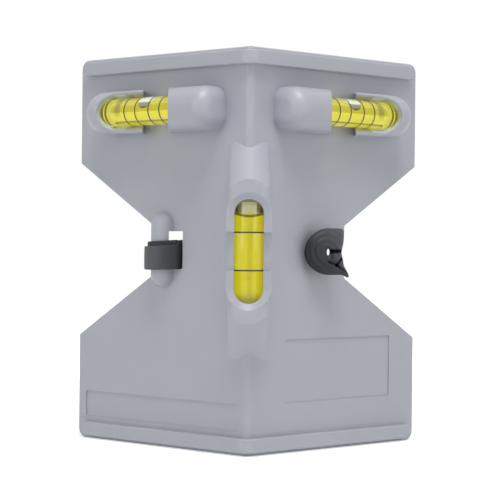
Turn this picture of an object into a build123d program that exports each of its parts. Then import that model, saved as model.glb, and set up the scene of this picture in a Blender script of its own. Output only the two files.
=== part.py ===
from build123d import *
from math import cos, radians, sin, sqrt
import os

# Post level: a V-shaped moulded frame that sits on the corner of a post, with three spirit
# vials in housings on its outer faces and a rubber strap looped through its two slots.
# Millimetres. +Z is up, the ridge of the V points towards -Y, and the V opens towards +Y.
# While it is modelled, the ridge line of the two outer faces is X = 0, Y = 0. Every node is
# moved along Y at the end, so that the origin lies under the middle of the part.
# On a wing, u runs from the ridge to the outer edge along the outer face, v into the wall.

# Moulded frame
HEIGHT = 133.0
WING_WIDTH = 84.0
WALL = 3.0
RIDGE_ROUND = 2.0
INNER_CORNER_ROUND = 1.0
CORNER_ROUND = 3.3
EDGE_ROUND = 1.0
WING_ANGLE = 45.0

# Proud rims along the top and the bottom edge
RIM_HEIGHT = 4.7
RIM_PROUD = 2.4
RIM_MARGIN = 1.2
RIM_END_MARGIN = 4.6
RIM_CORNER_ROUND = 2.6
RIM_EDGE_ROUND = 0.5

# Notch in each outer edge, cut straight along Y
NOTCH_MOUTH = 61.1
NOTCH_FLOOR = 17.7
NOTCH_DEPTH = 37.7

# Strap slots, the left one closed by a bar with a half-round rib, the right one open to its notch
SLOT_WIDTH = 4.9
SLOT_HEIGHT = 12.8
BAR_WIDTH = 5.9
RIGHT_SLOT_DEPTH = 8.5
BAR_RIB_RADIUS = 4.6
BAR_RIB_LENGTH = 25.4
BAR_RIB_SHIFT = 1.5

# Bare label recesses
RECESS_DEPTH = 0.4
LEFT_RECESS_START = 4.0
LEFT_RECESS_MARGIN = 4.3
LEFT_RECESS_LOW = 7.8
LEFT_RECESS_HEIGHT = 8.9
RIGHT_RECESS_START = 17.4
RIGHT_RECESS_MARGIN = 13.5
RIGHT_RECESS_LOW = 16.4
RIGHT_RECESS_HEIGHT = 21.1
RECESS_CORNER_ROUND = 0.8

# Spirit vials, alike in all three housings
VIAL_RADIUS = 4.75
VIAL_WALL = 1.15
CHAMBER_LENGTH = 34.5
CHAMBER_CROWN = 0.1
CHAMBER_END_ROUND = 2.4
VIAL_NOSE = 5.3
PLUG_LENGTH = 3.2
PLUG_HEAD = 0.8
GLUE_GAP = 0.1
FLUID_GAP = 0.04
LINE_WIDTH = 0.5
LINE_PROUD = 0.06
LINE_GAP = 0.01

# Level vials on the wings, with their bubble and lines measured from the vial's middle
LEVEL_VIAL_DROP = 19.7
LEVEL_VIAL_SINK = 0.25
LEVEL_LINE_INNER = 3.3
LEVEL_LINE_STEP = 5.4
LEVEL_BUBBLE_LENGTH = 6.2
LEVEL_BUBBLE_RADIUS = 2.5
BUBBLE_GAP = 0.2
BUBBLE_SKIN_GAP = 0.05

# Housing of a level vial: openings are measured along X, from the vial's middle or its nose
POD_WALL = 2.45
POD_REAR_COVER = 9.75
POD_REAR_ROUND = 4.5
POD_NOSE_COVER = 7.0
DOME_EDGE_BEFORE = 5.95
COLLAR_EDGE_AFTER = 2.95
WINDOW_NOSE_GAP = 3.3
WINDOW_ROUND_LENGTH = 9.8
WINDOW_LIP = 0.7
LIP_ROUND = 0.7
GAP_EDGE_ROUND = 0.25

# Housing of the upright vial on the ridge
RIDGE_VIAL_PROUD = 3.4
BOSS_LIP = 1.45
RIDGE_WINDOW_INSET = 0.55
BOSS_RING_WIDTH = 2.3
FUNNEL_LIP = 0.4
FUNNEL_FLOOR = 0.2
SIDE_WINDOW_HEIGHT = 12.4
SIDE_WINDOW_DEPTH = 3.8
RIDGE_LINE_OFFSET = 6.1
RIDGE_BUBBLE_LENGTH = 4.6
FAIRING_INSET = 0.7
FAIRING_CROWN_RADIUS = 9.0
FAIRING_SIDE_ROUND = 2.4
FAIRING_FLAT = 4.1
CROWN_WIDTH_SHARE = 0.95
RAMP_ANGLE = 45.0

# Rubber strap
STRAP_THICKNESS = 1.0
STRAP_WIDTH = 9.6
LAP_WIDTH = 8.0
STRAP_BOTTOM_GAP = 0.3
STRAP_SLOT_GAP = 0.3
LOOP_GAP = 0.15
LAP_GAP = 0.05
STRAP_BEND_RADIUS = 2.5
STRAP_STANDOFF = 3.7

# Pulled-through strap end: it flares out of the right slot to a rim and has a domed front
TAIL_ROOT_HALF_X = 2.1
TAIL_ROOT_HALF_Z = 4.6
TAIL_THROAT_AHEAD = 2.0
TAIL_THROAT_TILT = 9.0
TAIL_THROAT_HALF_X = 3.8
TAIL_THROAT_HALF_Z = 5.8
TAIL_RIM_AHEAD = 4.8
TAIL_RIM_TILT = 22.0
TAIL_RIM_HALF_X = 8.8
TAIL_RIM_HALF_Z = 8.1
TAIL_SHOULDER_AHEAD = 6.6
TAIL_SHOULDER_TILT = 20.0
TAIL_SHOULDER_HALF_X = 7.4
TAIL_SHOULDER_HALF_Z = 6.9
TAIL_CROWN_AHEAD = 7.8
TAIL_CROWN_TILT = 14.0
TAIL_CROWN_HALF_X = 3.6
TAIL_CROWN_HALF_Z = 3.6
TAIL_CENTRE_DROP = 0.1
TAIL_BORE_HALF_X = 0.6
TAIL_BORE_HALF_Z = 1.2
TAIL_DIMPLE_DEPTH = 1.4
TAIL_DIMPLE_MARGIN = 1.2
TAIL_FLAT_MARGIN = 0.8

# Helper sizes
OVERRUN = 2.0
TOUCH = 0.1
NO_LENGTH = 0.0

# Derived places of the frame
MIDDLE = HEIGHT / 2
ROOT2 = sqrt(2)
HALF_WALL = WALL / 2
NOTCH_U = WING_WIDTH - NOTCH_DEPTH
NOTCH_FLOOR_X = NOTCH_U / ROOT2
SLOT_OUTER_X = NOTCH_FLOOR_X - BAR_WIDTH
SLOT_INNER_X = SLOT_OUTER_X - SLOT_WIDTH
RIGHT_SLOT_INNER_X = NOTCH_FLOOR_X - RIGHT_SLOT_DEPTH
BAR_MIDDLE_X = (SLOT_OUTER_X + NOTCH_FLOOR_X) / 2
BAR_RIB_X = BAR_MIDDLE_X - BAR_RIB_SHIFT
REACH = 2 * WING_WIDTH

# Derived places of the vials and their housings
BORE_RADIUS = VIAL_RADIUS + GLUE_GAP
CHAMBER_RADIUS = VIAL_RADIUS - VIAL_WALL
MOUTH_RADIUS = CHAMBER_RADIUS - CHAMBER_CROWN
VIAL_REAR_LENGTH = CHAMBER_LENGTH / 2 + PLUG_LENGTH
VIAL_NOSE_LENGTH = CHAMBER_LENGTH / 2 + VIAL_NOSE
LEVEL_VIAL_HEIGHT = HEIGHT - LEVEL_VIAL_DROP
LEVEL_VIAL_U = WING_WIDTH / 2
LEVEL_VIAL_PROUD = BORE_RADIUS - LEVEL_VIAL_SINK
LEVEL_VIAL_X = (LEVEL_VIAL_U + LEVEL_VIAL_PROUD) / ROOT2
POD_RADIUS = BORE_RADIUS + POD_WALL
POD_INNER_END = LEVEL_VIAL_U - VIAL_REAR_LENGTH - PLUG_HEAD - POD_REAR_COVER
POD_OUTER_CENTRE = LEVEL_VIAL_U + VIAL_NOSE_LENGTH + POD_NOSE_COVER - POD_RADIUS
DOME_EDGE_X = LEVEL_VIAL_X - DOME_EDGE_BEFORE
COLLAR_EDGE_X = LEVEL_VIAL_X + COLLAR_EDGE_AFTER
WINDOW_END_X = LEVEL_VIAL_X + VIAL_NOSE_LENGTH / ROOT2 + WINDOW_NOSE_GAP
WINDOW_ROUND_X = WINDOW_END_X - WINDOW_ROUND_LENGTH
WINDOW_HALF_HEIGHT = POD_RADIUS - WINDOW_LIP
BOSS_RADIUS = POD_RADIUS
BOSS_FRONT = RIDGE_VIAL_PROUD + VIAL_RADIUS + BOSS_LIP
RIDGE_WINDOW_HALF_HEIGHT = CHAMBER_LENGTH / 2 - RIDGE_WINDOW_INSET
BOSS_HALF_HEIGHT = RIDGE_WINDOW_HALF_HEIGHT + BOSS_RING_WIDTH
FUNNEL_RADIUS = BOSS_RADIUS - FUNNEL_LIP
FAIRING_HALF_WIDTH = BOSS_RADIUS - FAIRING_INSET
FAIRING_CUSP = BOSS_HALF_HEIGHT + FAIRING_FLAT + BOSS_FRONT

# Derived places of the strap
STRAP_BOTTOM = MIDDLE - SLOT_HEIGHT / 2 + STRAP_BOTTOM_GAP
BEND_CENTRE_Y = SLOT_INNER_X + WALL * ROOT2 + STRAP_STANDOFF
STRAP_SPAN_BACK = BEND_CENTRE_Y + STRAP_BEND_RADIUS
LAP_END_BACK = STRAP_SPAN_BACK + STRAP_THICKNESS
NECK_FRONT = RIGHT_SLOT_INNER_X
NECK_X = RIGHT_SLOT_INNER_X + STRAP_SLOT_GAP
RIGHT_BEND_X = NECK_X - STRAP_BEND_RADIUS
LAP_OFFSET = LOOP_GAP + STRAP_THICKNESS + LAP_GAP
LEG_X = SLOT_INNER_X + STRAP_SLOT_GAP
LEFT_BEND_X = STRAP_BEND_RADIUS - LEG_X
LAP_CORNER_X = LEG_X + LAP_OFFSET + STRAP_THICKNESS
LAP_CORNER_Y = BAR_RIB_X - BAR_RIB_RADIUS
TAIL_X = RIGHT_SLOT_INNER_X + SLOT_WIDTH / 2

# Middle of the whole part from front to back
WING_END_Y = (WING_WIDTH + WALL) / ROOT2
CENTRE_Y = (WING_END_Y - BOSS_FRONT) / 2


def to_wing(shape):
    """Places a shape drawn in (u, v, z) on the right wing."""
    return Rot(0, 0, WING_ANGLE) * shape


def to_left(shape):
    """Mirrors a shape of the right side onto the left side."""
    return mirror(shape, about=Plane.YZ)


def wing_point(u, proud):
    """XY point of the right wing at u along the outer face and proud of it."""
    return ((u + proud) / ROOT2, (u - proud) / ROOT2)


def vee_band(proud, inner, end_u, low, high):
    """V-shaped band between two offsets of the outer faces, from low to high in Z."""
    right = [wing_point(end_u, proud), wing_point(end_u, -inner)]
    left = [(-x, y) for x, y in reversed(right)]
    front = (0, -proud * ROOT2)
    back = (0, inner * ROOT2)
    outline = Polygon(front, *right, back, *left, align=None)
    return Pos(0, 0, low) * extrude(outline, high - low)


def outer_offset(point):
    """How far a point stands out from the outer faces of the two wings."""
    return (abs(point.X) - point.Y) / ROOT2


def along_wing(point):
    """How far along the outer faces a point lies from the ridge."""
    return (abs(point.X) + point.Y) / ROOT2


def front_perimeter(solid, proud, end_u, depth):
    """Edges around the outer skin of a V band: its long edges, its ends and its corners."""
    edges = []
    for edge in solid.edges():
        middle = edge @ 0.5
        upright = abs((edge % 0.5).Z) > 0.99
        on_skin = outer_offset(middle) > proud - depth / 2
        inside = along_wing(middle) < end_u - depth
        across = abs(outer_offset(edge @ 0) - outer_offset(edge @ 1)) > depth / 2
        if on_skin and not across and not (upright and inside):
            edges.append(edge)
    return edges


def end_corners(solid, end_u, height):
    """Edges across the wall at the outer corners that lie at one height."""
    return [
        edge
        for edge in solid.edges()
        if abs((edge @ 0.5).Z - height) < TOUCH
        and abs((edge @ 0).Z - (edge @ 1).Z) < TOUCH
        and abs(along_wing(edge @ 0) - end_u) < TOUCH
        and abs(along_wing(edge @ 1) - end_u) < TOUCH
    ]


def upright_edges(solid, y_low, y_high):
    """Upright edges on the plane of symmetry between two places along Y."""
    return [
        edge
        for edge in solid.edges()
        if abs((edge % 0.5).Z) > 0.99
        and abs((edge @ 0.5).X) < TOUCH
        and y_low < (edge @ 0.5).Y < y_high
    ]


def make_plate():
    """The V-shaped wall with its rounded ridge, corners and front edges."""
    plate = vee_band(NO_LENGTH, WALL, WING_WIDTH, NO_LENGTH, HEIGHT)
    plate = fillet(upright_edges(plate, -WALL, WALL), RIDGE_ROUND)
    plate = fillet(upright_edges(plate, WALL, 2 * WALL), INNER_CORNER_ROUND)
    plate = fillet(end_corners(plate, WING_WIDTH, HEIGHT), CORNER_ROUND)
    plate = fillet(end_corners(plate, WING_WIDTH, 0), CORNER_ROUND)
    return fillet(front_perimeter(plate, NO_LENGTH, WING_WIDTH, WALL), EDGE_ROUND)


def make_rim(low, corner_height):
    """One proud rim, rounded at its ridge, at its outer corners and along its edges."""
    end_u = WING_WIDTH - RIM_END_MARGIN
    rim = vee_band(RIM_PROUD, HALF_WALL, end_u, low, low + RIM_HEIGHT)
    rim = fillet(upright_edges(rim, -2 * ROOT2 * RIM_PROUD, NO_LENGTH), RIDGE_ROUND + RIM_PROUD)
    rim = fillet(end_corners(rim, end_u, corner_height), RIM_CORNER_ROUND)
    return fillet(front_perimeter(rim, RIM_PROUD, end_u, RIM_PROUD), RIM_EDGE_ROUND)


def notch_cut():
    """Trapezoid cut through the right wing, straight along Y."""
    edge_x = WING_WIDTH / ROOT2
    slope = (NOTCH_MOUTH - NOTCH_FLOOR) / 2 / (edge_x - NOTCH_FLOOR_X)
    far_x = edge_x + WALL
    far_half = NOTCH_MOUTH / 2 + WALL * slope
    floor_half = NOTCH_FLOOR / 2
    outline = Polygon(
        (NOTCH_FLOOR_X, MIDDLE - floor_half),
        (far_x, MIDDLE - far_half),
        (far_x, MIDDLE + far_half),
        (NOTCH_FLOOR_X, MIDDLE + floor_half),
        align=None,
    )
    return extrude(Plane.XZ * outline, REACH, both=True)


def slot_cut(inner_x, outer_x):
    """Rectangular strap slot, straight along Y, between two distances from the ridge."""
    width = outer_x - inner_x
    return Pos(inner_x + width / 2, 0, MIDDLE) * Box(width, 2 * REACH, SLOT_HEIGHT)


def bar_rib():
    """Half-round rib with ball ends that thickens the bar between slot and notch."""
    half = BAR_RIB_LENGTH / 2 - BAR_RIB_RADIUS
    place = Pos(BAR_RIB_X, BAR_RIB_X, MIDDLE)
    rib = place * Cylinder(BAR_RIB_RADIUS, 2 * half)
    for end in (-half, half):
        rib = rib + place * Pos(0, 0, end) * Sphere(BAR_RIB_RADIUS)
    return rib


def front_of_wall():
    """Everything in front of the middle of the wall."""
    back = HALF_WALL * ROOT2
    outline = Polygon(
        (-REACH, -REACH), (REACH, -REACH), (REACH, REACH + back), (0, back), (-REACH, REACH + back),
        align=None,
    )
    return extrude(outline, HEIGHT)


def behind_outer_face():
    """Everything behind the outer face of the right wing."""
    return to_wing(Pos(0, REACH, MIDDLE) * Box(2 * REACH, 2 * REACH, 2 * HEIGHT))


def level_pod():
    """Housing of the right level vial: a half-round block with a ball nose, square at the rear."""
    depth = LEVEL_VIAL_PROUD + HALF_WALL
    foot = Pos(0, depth / 2) * Rectangle(2 * POD_RADIUS, depth)
    section = Plane.YZ * (Rot(0, 0, -90) * (Circle(POD_RADIUS) + foot))
    body = Pos(POD_INNER_END, 0, 0) * extrude(section, POD_OUTER_CENTRE - POD_INNER_END)
    rear = [edge for edge in body.edges().group_by(Axis.X)[0] if (edge @ 0.5).Y < depth - TOUCH]
    body = fillet(rear, POD_REAR_ROUND)
    nose = Sphere(POD_RADIUS) + Pos(0, depth / 2, 0) * Rot(90, 0, 0) * Cylinder(POD_RADIUS, depth)
    pod = body + Pos(POD_OUTER_CENTRE, 0, 0) * nose
    return to_wing(Pos(0, -LEVEL_VIAL_PROUD, LEVEL_VIAL_HEIGHT) * pod)


def funnel_outline(proud, start_x, round_x, end_x, half_height):
    """Window outline on a plane along the right wing: straight sides and a half-ellipse end.

    Places along X are seen along Y, so a plane further out from the wing has them nearer the
    ridge along u.
    """
    start, middle, end = (x * ROOT2 - proud for x in (start_x, round_x, end_x))
    straight = Pos((start + middle) / 2, 0) * Rectangle(middle - start, 2 * half_height)
    tip = Pos(middle, 0) * Ellipse(end - middle, half_height)
    ahead = Pos(middle + REACH / 2, 0) * Rectangle(REACH, REACH)
    outline = straight + (tip & ahead)
    return Pos(0, -proud, LEVEL_VIAL_HEIGHT) * Rot(90, 0, 0) * outline


def level_window():
    """Gap between dome and collar, and the collar's window, which narrows onto the vial."""
    gap = Pos((DOME_EDGE_X + COLLAR_EDGE_X) / 2, 0, LEVEL_VIAL_HEIGHT) * Box(
        COLLAR_EDGE_X - DOME_EDGE_X, 2 * REACH, 2 * (POD_RADIUS + OVERRUN)
    )
    start_x = (DOME_EDGE_X + COLLAR_EDGE_X) / 2
    nose_x = LEVEL_VIAL_X + (VIAL_NOSE_LENGTH - VIAL_RADIUS) / ROOT2
    low_end_x = nose_x + BORE_RADIUS
    lip_rise = sqrt(POD_RADIUS**2 - WINDOW_HALF_HEIGHT**2)
    rise = POD_RADIUS + OVERRUN
    high_half = BORE_RADIUS + (WINDOW_HALF_HEIGHT - BORE_RADIUS) * rise / lip_rise
    high_round_x = nose_x + (WINDOW_ROUND_X - nose_x) * rise / lip_rise
    high_end_x = low_end_x + (WINDOW_END_X - low_end_x) * rise / POD_RADIUS
    axis = LEVEL_VIAL_PROUD
    low = funnel_outline(axis, start_x, nose_x, low_end_x, BORE_RADIUS)
    high = funnel_outline(axis + rise, start_x, high_round_x, high_end_x, high_half)
    return (gap - behind_outer_face()) + to_wing(loft([low, high], ruled=True))


def from_pod_axis(point):
    """Distance of a point from the right pod's axis, or from the middle of its ball nose."""
    beyond = max(0, along_wing(point) - POD_OUTER_CENTRE)
    out = outer_offset(point) - LEVEL_VIAL_PROUD
    return sqrt(beyond**2 + out**2 + (point.Z - LEVEL_VIAL_HEIGHT) ** 2)


def skin_edges(pod, kind):
    """Edges of one kind that cuts have left on the front half of the right pod's skin."""
    edges = []
    for edge in pod.edges().filter_by(kind):
        points = [edge @ 0.1, edge @ 0.5, edge @ 0.9]
        on_skin = all(abs(from_pod_axis(point) - POD_RADIUS) < TOUCH / 2 for point in points)
        if on_skin and outer_offset(edge @ 0.5) > LEVEL_VIAL_PROUD:
            edges.append(edge)
    return edges


def open_pod():
    """The right pod with its gap and window cut, and the edges that they leave rounded."""
    pod = level_pod() - level_window()
    pod = fillet(skin_edges(pod, GeomType.BSPLINE), LIP_ROUND)
    pod = fillet(skin_edges(pod, GeomType.ELLIPSE), GAP_EDGE_ROUND)
    return pod & front_of_wall()


def level_bore():
    """Bore for the right level vial: the tube's space, with a ball at the nose."""
    rear = VIAL_REAR_LENGTH + PLUG_HEAD + GLUE_GAP
    front = VIAL_NOSE_LENGTH - VIAL_RADIUS
    bore = Pos((front - rear) / 2, 0, 0) * Rot(0, 90, 0) * Cylinder(BORE_RADIUS, front + rear)
    bore = bore + Pos(front, 0, 0) * Sphere(BORE_RADIUS)
    return to_wing(Pos(LEVEL_VIAL_U, -LEVEL_VIAL_PROUD, LEVEL_VIAL_HEIGHT) * bore)


def fairing_ramp(sign):
    """Long block with a crowned top that slopes back to the ridge, above or below the boss."""
    half = FAIRING_CROWN_RADIUS * CROWN_WIDTH_SHARE
    side_drop = FAIRING_CROWN_RADIUS - sqrt(FAIRING_CROWN_RADIUS**2 - half**2)
    top = ThreePointArc((-half, -side_drop), (0, 0), (half, -side_drop))
    sides = Polyline((half, -side_drop), (half, -REACH), (-half, -REACH), (-half, -side_drop))
    section = make_face([top, *sides.edges()])
    tilt = radians(RAMP_ANGLE)
    plane = Plane(
        origin=(0, 0, MIDDLE + sign * FAIRING_CUSP),
        x_dir=(1, 0, 0),
        z_dir=(0, -sign * cos(tilt), -sin(tilt)),
    )
    return extrude(plane * section, REACH, both=True)


def ridge_boss():
    """Housing of the upright vial: a tower on the ridge with a ramp above and below it."""
    half = FAIRING_HALF_WIDTH
    tower = Pos(0, REACH / 2 - BOSS_FRONT, MIDDLE) * Box(2 * half, REACH, HEIGHT)
    tower = tower & fairing_ramp(1) & fairing_ramp(-1)
    side_edges = [
        edge
        for edge in tower.edges()
        if abs(abs((edge @ 0.5).X) - half) < TOUCH and (edge @ 0.5).Y < REACH / 4
    ]
    tower = fillet(side_edges, FAIRING_SIDE_ROUND)
    centres = 2 * (BOSS_HALF_HEIGHT - BOSS_RADIUS)
    ring = upright_slot(centres, BOSS_RADIUS, -BOSS_FRONT, REACH)
    return (tower + ring) & front_of_wall()


def upright_slot(centres, radius, front, depth, taper=0):
    """Upright stadium block on the ridge, from front backwards by depth."""
    face = Plane.XZ * (Rot(0, 0, 90) * SlotCenterToCenter(centres, 2 * radius))
    block = extrude(face, -depth, taper=taper)
    return Pos(0, front, MIDDLE) * block


def ridge_cuts():
    """Window with its funnel, side windows, vial pocket and the loading slot behind it."""
    centres = 2 * (RIDGE_WINDOW_HALF_HEIGHT - VIAL_RADIUS)
    window = upright_slot(centres, VIAL_RADIUS, -BOSS_FRONT, BOSS_FRONT - RIDGE_VIAL_PROUD)
    depth = BOSS_LIP - FUNNEL_FLOOR
    taper = degrees_of((FUNNEL_RADIUS - VIAL_RADIUS) / depth)
    funnel = upright_slot(centres, FUNNEL_RADIUS, -BOSS_FRONT, depth, taper)
    side = Pos(0, -BOSS_FRONT, MIDDLE) * Box(
        2 * BOSS_RADIUS + OVERRUN, 2 * SIDE_WINDOW_DEPTH, SIDE_WINDOW_HEIGHT
    )
    low = MIDDLE - VIAL_REAR_LENGTH - PLUG_HEAD - GLUE_GAP
    high = MIDDLE + VIAL_NOSE_LENGTH + GLUE_GAP
    pocket = Pos(0, -RIDGE_VIAL_PROUD, (low + high) / 2) * Cylinder(BORE_RADIUS, high - low)
    loading = Pos(0, REACH / 2 - RIDGE_VIAL_PROUD, (low + high) / 2) * Box(
        2 * BORE_RADIUS, REACH, high - low
    )
    return [window, funnel, side, pocket, loading]


def degrees_of(slope):
    """Angle in degrees of a slope given as rise over run."""
    return Vector(1, 0, 0).get_angle(Vector(1, slope, 0))


def recess(start_u, end_u, low, height):
    """Shallow label recess in the outer face of the right wing."""
    outline = RectangleRounded(end_u - start_u, height, RECESS_CORNER_ROUND)
    block = extrude(Plane.XZ * outline, RECESS_DEPTH, both=True)
    return to_wing(Pos((start_u + end_u) / 2, 0, low + height / 2) * block)


def make_frame():
    """The moulded frame as one solid."""
    top_low = HEIGHT - RIM_MARGIN - RIM_HEIGHT
    frame = make_plate()
    frame = frame + make_rim(top_low, top_low + RIM_HEIGHT)
    frame = frame + make_rim(RIM_MARGIN, RIM_MARGIN)
    pod = open_pod()
    frame = frame + pod + to_left(pod)
    frame = frame + to_left(bar_rib() & front_of_wall())
    frame = frame + ridge_boss()
    cuts = [slot_cut(RIGHT_SLOT_INNER_X, NOTCH_FLOOR_X + OVERRUN)]
    cuts.append(to_left(slot_cut(SLOT_INNER_X, SLOT_OUTER_X)))
    for cut in (notch_cut(), level_bore()):
        cuts += [cut, to_left(cut)]
    cuts += ridge_cuts()
    end_u = WING_WIDTH - LEFT_RECESS_MARGIN
    cuts.append(to_left(recess(LEFT_RECESS_START, end_u, LEFT_RECESS_LOW, LEFT_RECESS_HEIGHT)))
    end_u = WING_WIDTH - RIGHT_RECESS_MARGIN
    cuts.append(recess(RIGHT_RECESS_START, end_u, RIGHT_RECESS_LOW, RIGHT_RECESS_HEIGHT))
    for cut in cuts:
        frame = frame - cut
    return frame


def chamber_profile(gap):
    """Upper half outline of the barrel-shaped chamber, smaller than the real one by gap."""
    half = CHAMBER_LENGTH / 2 - gap
    crown = CHAMBER_RADIUS - gap
    end = crown - CHAMBER_CROWN
    side = ThreePointArc((-half, end), (0, crown), (half, end))
    rest = Polyline((half, end), (half, 0), (-half, 0), (-half, end))
    profile = make_face([side, *rest.edges()])
    corner = profile.vertices().sort_by(Axis.X)[-2:].sort_by(Axis.Y)[-1]
    return fillet(corner, CHAMBER_END_ROUND)


def vial_tube():
    """Clear tube about X, with a solid round nose at +X and an open rear for the plug."""
    front = VIAL_NOSE_LENGTH - VIAL_RADIUS
    rear = VIAL_REAR_LENGTH
    body = Pos((front - rear) / 2, VIAL_RADIUS / 2) * Rectangle(front + rear, VIAL_RADIUS)
    upper_half = Pos(front, VIAL_RADIUS / 2) * Rectangle(2 * VIAL_RADIUS, VIAL_RADIUS)
    nose = (Pos(front, 0) * Circle(VIAL_RADIUS)) & upper_half
    mouth = Pos(-CHAMBER_LENGTH / 2, MOUTH_RADIUS / 2) * Rectangle(2 * PLUG_LENGTH, MOUTH_RADIUS)
    return revolve(body + nose - chamber_profile(NO_LENGTH) - mouth, Axis.X)


def vial_plug():
    """Clear plug glued into the rear of the tube, with a thin head over the tube's end."""
    rear = VIAL_REAR_LENGTH
    shank_radius = MOUTH_RADIUS - GLUE_GAP / 2
    shank = Pos(-rear + PLUG_LENGTH / 2, 0, 0) * Rot(0, 90, 0) * Cylinder(shank_radius, PLUG_LENGTH)
    head = Pos(-rear - PLUG_HEAD / 2, 0, 0) * Rot(0, 90, 0) * Cylinder(VIAL_RADIUS, PLUG_HEAD)
    return shank + head


def vial_line(place):
    """Thin ring of ink around the tube at one place along it."""
    ring = Cylinder(VIAL_RADIUS + LINE_PROUD, LINE_WIDTH)
    ring = ring - Cylinder(VIAL_RADIUS + LINE_GAP, LINE_WIDTH)
    return Pos(place, 0, 0) * Rot(0, 90, 0) * ring


def level_bubble(gap):
    """Air bubble lying under the top of the chamber, grown by gap for the fluid's hollow."""
    radius = LEVEL_BUBBLE_RADIUS + gap
    centres = LEVEL_BUBBLE_LENGTH - 2 * LEVEL_BUBBLE_RADIUS
    height = MOUTH_RADIUS - BUBBLE_GAP - LEVEL_BUBBLE_RADIUS
    upper_half = Pos(0, radius / 2) * Rectangle(centres + 2 * radius, radius)
    profile = SlotCenterToCenter(centres, 2 * radius) & upper_half
    return Pos(0, 0, height) * revolve(profile, Axis.X)


def ridge_bubble(gap):
    """Air bubble at the nose end of the upright vial, grown by gap for the fluid's hollow."""
    front = CHAMBER_LENGTH / 2 - BUBBLE_GAP + gap
    rear = CHAMBER_LENGTH / 2 - BUBBLE_GAP - RIDGE_BUBBLE_LENGTH - gap
    radius = MOUTH_RADIUS - BUBBLE_GAP + gap
    bubble = Pos((front + rear) / 2, 0, 0) * Rot(0, 90, 0) * Cylinder(radius, front - rear)
    nose = bubble.edges().group_by(Axis.X)[-1]
    return fillet(nose, CHAMBER_END_ROUND)


def to_level(shape):
    """Places a vial drawn about X on the right wing, nose outwards."""
    return to_wing(Pos(LEVEL_VIAL_U, -LEVEL_VIAL_PROUD, LEVEL_VIAL_HEIGHT) * shape)


def to_ridge(shape):
    """Places a vial drawn about X upright on the ridge, nose up."""
    return Pos(0, -RIDGE_VIAL_PROUD, MIDDLE) * Rot(0, -90, 0) * shape


def bar_outline(grow):
    """Outline of a strap laid round the bar and on across its slot, grown by a distance."""
    back = WALL * ROOT2
    half_width = NOTCH_FLOOR_X - BAR_RIB_X
    side_y = BAR_RIB_X - sqrt(BAR_RIB_RADIUS**2 - half_width**2)
    corner = (LAP_CORNER_X, LAP_CORNER_Y)
    front = (BAR_RIB_X, LAP_CORNER_Y)
    side = (NOTCH_FLOOR_X, side_y)
    rest = Polyline(
        side,
        (NOTCH_FLOOR_X, NOTCH_FLOOR_X + back),
        (SLOT_OUTER_X, SLOT_OUTER_X + back),
        corner,
        front,
    )
    rib = TangentArc(front, side, tangent=(1, 0))
    return offset(make_face([rib, *rest.edges()]), amount=grow)


def bar_turn(gap, width):
    """One closed turn of the strap around the left bar, gap clear of it."""
    ring = bar_outline(gap + STRAP_THICKNESS) - bar_outline(gap)
    return to_left(Pos(0, 0, STRAP_BOTTOM) * extrude(ring, width))


def strap_box(x_low, x_high, y_low, y_high):
    """Straight stretch of the strap between two places along X and two along Y."""
    block = Pos((x_low + x_high) / 2, (y_low + y_high) / 2, STRAP_BOTTOM + STRAP_WIDTH / 2)
    return block * Box(x_high - x_low, y_high - y_low, STRAP_WIDTH)


def strap_bend(centre_x, side):
    """Quarter turn from the span into a slot, about an upright line at centre_x."""
    outer = STRAP_BEND_RADIUS + STRAP_THICKNESS
    ring = Circle(outer) - Circle(STRAP_BEND_RADIUS)
    quarter = ring & (Pos(side * outer / 2, outer / 2) * Rectangle(outer, outer))
    place = Pos(centre_x, STRAP_SPAN_BACK - STRAP_BEND_RADIUS, STRAP_BOTTOM)
    return place * extrude(quarter, STRAP_WIDTH)


def make_loop():
    """Inner turn of the strap around the left bar."""
    return bar_turn(LOOP_GAP, STRAP_WIDTH)


def make_band():
    """Strap from its lap over the left bar, through the left slot and across the V."""
    lap = bar_turn(LAP_OFFSET, LAP_WIDTH)
    keep = Pos(-NOTCH_FLOOR_X, LAP_END_BACK - REACH / 2, MIDDLE) * Box(REACH, REACH, HEIGHT)
    slot_side = strap_box(-BAR_MIDDLE_X, 0, LAP_CORNER_Y, LAP_END_BACK + REACH)
    lap = (lap & keep) - slot_side
    leg = strap_box(-LEG_X - STRAP_THICKNESS, -LEG_X, LAP_CORNER_Y, BEND_CENTRE_Y)
    span = strap_box(LEFT_BEND_X, RIGHT_BEND_X, STRAP_SPAN_BACK, STRAP_SPAN_BACK + STRAP_THICKNESS)
    return lap + leg + strap_bend(LEFT_BEND_X, -1) + span


def make_neck():
    """Strap from the span around the right bend and through the right slot."""
    leg = strap_box(NECK_X, NECK_X + STRAP_THICKNESS, NECK_FRONT, BEND_CENTRE_Y)
    return strap_bend(RIGHT_BEND_X, 1) + leg


def tail_section(ahead, tilt, half_x, half_z):
    """Ellipse across the strap end, ahead of the neck, turned by a tilt towards the ridge."""
    turn = radians(tilt)
    plane = Plane(
        origin=(TAIL_X, NECK_FRONT - ahead, MIDDLE - TAIL_CENTRE_DROP),
        x_dir=(cos(turn), sin(turn), 0),
        z_dir=(sin(turn), -cos(turn), 0),
    )
    return plane * Ellipse(half_x, half_z)


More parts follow.
